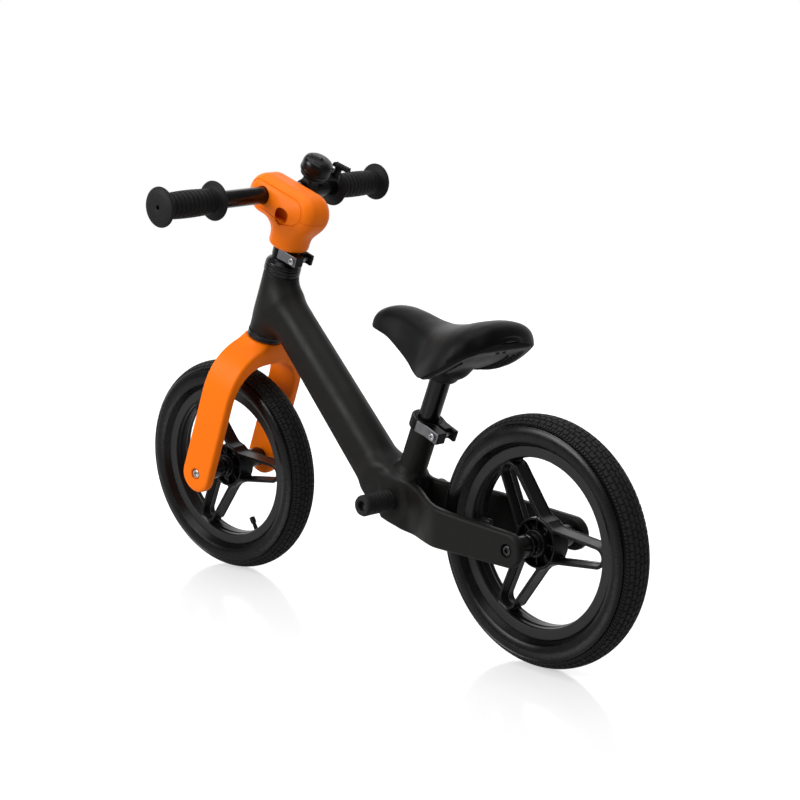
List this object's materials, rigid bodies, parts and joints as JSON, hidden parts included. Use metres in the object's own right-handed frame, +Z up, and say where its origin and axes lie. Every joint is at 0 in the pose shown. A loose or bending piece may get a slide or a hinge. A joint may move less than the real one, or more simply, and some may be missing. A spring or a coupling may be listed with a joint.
{
  "type": "balance bike",
  "caption": "Child's balance bike: cast frame with forked rear arms, arched fork, padded saddle, ribbed grips, bell, foot pegs and air-filled wheels with looped spokes.",
  "frame": {"origin": "on the ground, midway between the two axles, in the frame's middle plane", "axes": "+X forward, +Y the rider's left, +Z up"},
  "size_m": [0.8572, 0.4019, 0.568],
  "materials": {
    "frame_paint": "satin",
    "fork_paint": "satin",
    "cover_plastic": "satin",
    "tyre_rubber": "matte",
    "soft_rubber": "matte",
    "wheel_plastic": "satin",
    "clamp_alloy": "satin",
    "valve_metal": "satin",
    "black_steel": "gloss",
    "saddle_vinyl": "satin",
    "black_plastic": "satin",
    "bell_metal": "gloss",
    "bright_steel": "satin"
  },
  "bodies": {
    "frame": {"frame_casting": "frame_paint", "headset_lower_cup": "black_steel", "headset_upper_cup": "black_steel", "headset_lower_bearing": "bright_steel", "headset_upper_bearing": "bright_steel", "seat_clamp_collar": "clamp_alloy", "seat_clamp_bolt": "bright_steel", "foot_peg_left": "soft_rubber", "foot_peg_right": "soft_rubber", "foot_peg_rod": "bright_steel", "rear_axle": "bright_steel", "rear_axle_bolts": "bright_steel", "rear_axle_spacers": "black_steel"},
    "fork": {"fork_casting": "fork_paint", "steerer_tube": "bright_steel", "crown_race": "bright_steel", "headset_top_cover": "black_steel", "stem_clamp_collar": "clamp_alloy", "stem_clamp_bolt": "bright_steel", "front_axle": "bright_steel", "front_axle_bolts": "bright_steel", "front_axle_spacers": "black_steel"},
    "handlebar": {"quill_tube": "bright_steel", "stem_core": "clamp_alloy", "stem_lower_shell": "cover_plastic", "stem_upper_shell": "cover_plastic", "stem_side_panels": "cover_plastic", "handlebar": "black_steel", "grip_left": "soft_rubber", "grip_right": "soft_rubber", "bell_clamp": "black_plastic", "bell_base": "black_plastic", "bell_dome": "bell_metal", "bell_dome_screw": "bright_steel"},
    "bell_lever": {"bell_lever": "black_plastic"},
    "front_wheel": {"front_wheel_casting": "wheel_plastic", "front_tyre": "tyre_rubber", "front_inner_tube": "soft_rubber", "front_valve": "valve_metal", "front_bearings": "bright_steel"},
    "rear_wheel": {"rear_wheel_casting": "wheel_plastic", "rear_tyre": "tyre_rubber", "rear_inner_tube": "soft_rubber", "rear_valve": "valve_metal", "rear_bearings": "bright_steel"},
    "saddle": {"seat_post": "black_steel", "saddle_base": "black_plastic", "saddle_cover": "saddle_vinyl", "saddle_bolts": "bright_steel"}
  },
  "joints": [
    {"name": "steering", "type": "hinge", "parent": "frame", "child": "fork", "pos_m": [0.18833, 0, 0.37597], "axis": [-0.3827, 0, 0.9239], "range_deg": [-52, 38]},
    {"name": "handlebar_height", "type": "slide", "parent": "fork", "child": "handlebar", "axis": [-0.3827, 0, 0.9239], "range_m": [0, 0.04]},
    {"name": "bell_lever", "type": "hinge", "parent": "handlebar", "child": "bell_lever", "pos_m": [0.15998, -0.08609, 0.54198], "axis": [-0.565, -0.0253, 0.8247], "range_deg": [0, 28], "stiffness_Nm_per_rad": 0.05},
    {"name": "front_wheel_spin", "type": "hinge", "parent": "fork", "child": "front_wheel", "pos_m": [0.284, 0, 0.145], "axis": [-0.1126, 0.9925, -0.0466], "continuous": true},
    {"name": "rear_wheel_spin", "type": "hinge", "parent": "frame", "child": "rear_wheel", "pos_m": [-0.284, 0, 0.145], "axis": [0, 1, 0], "continuous": true},
    {"name": "saddle_height", "type": "slide", "parent": "frame", "child": "saddle", "axis": [-0.3827, 0, 0.9239], "range_m": [-0.03, 0.03]}
  ]
}
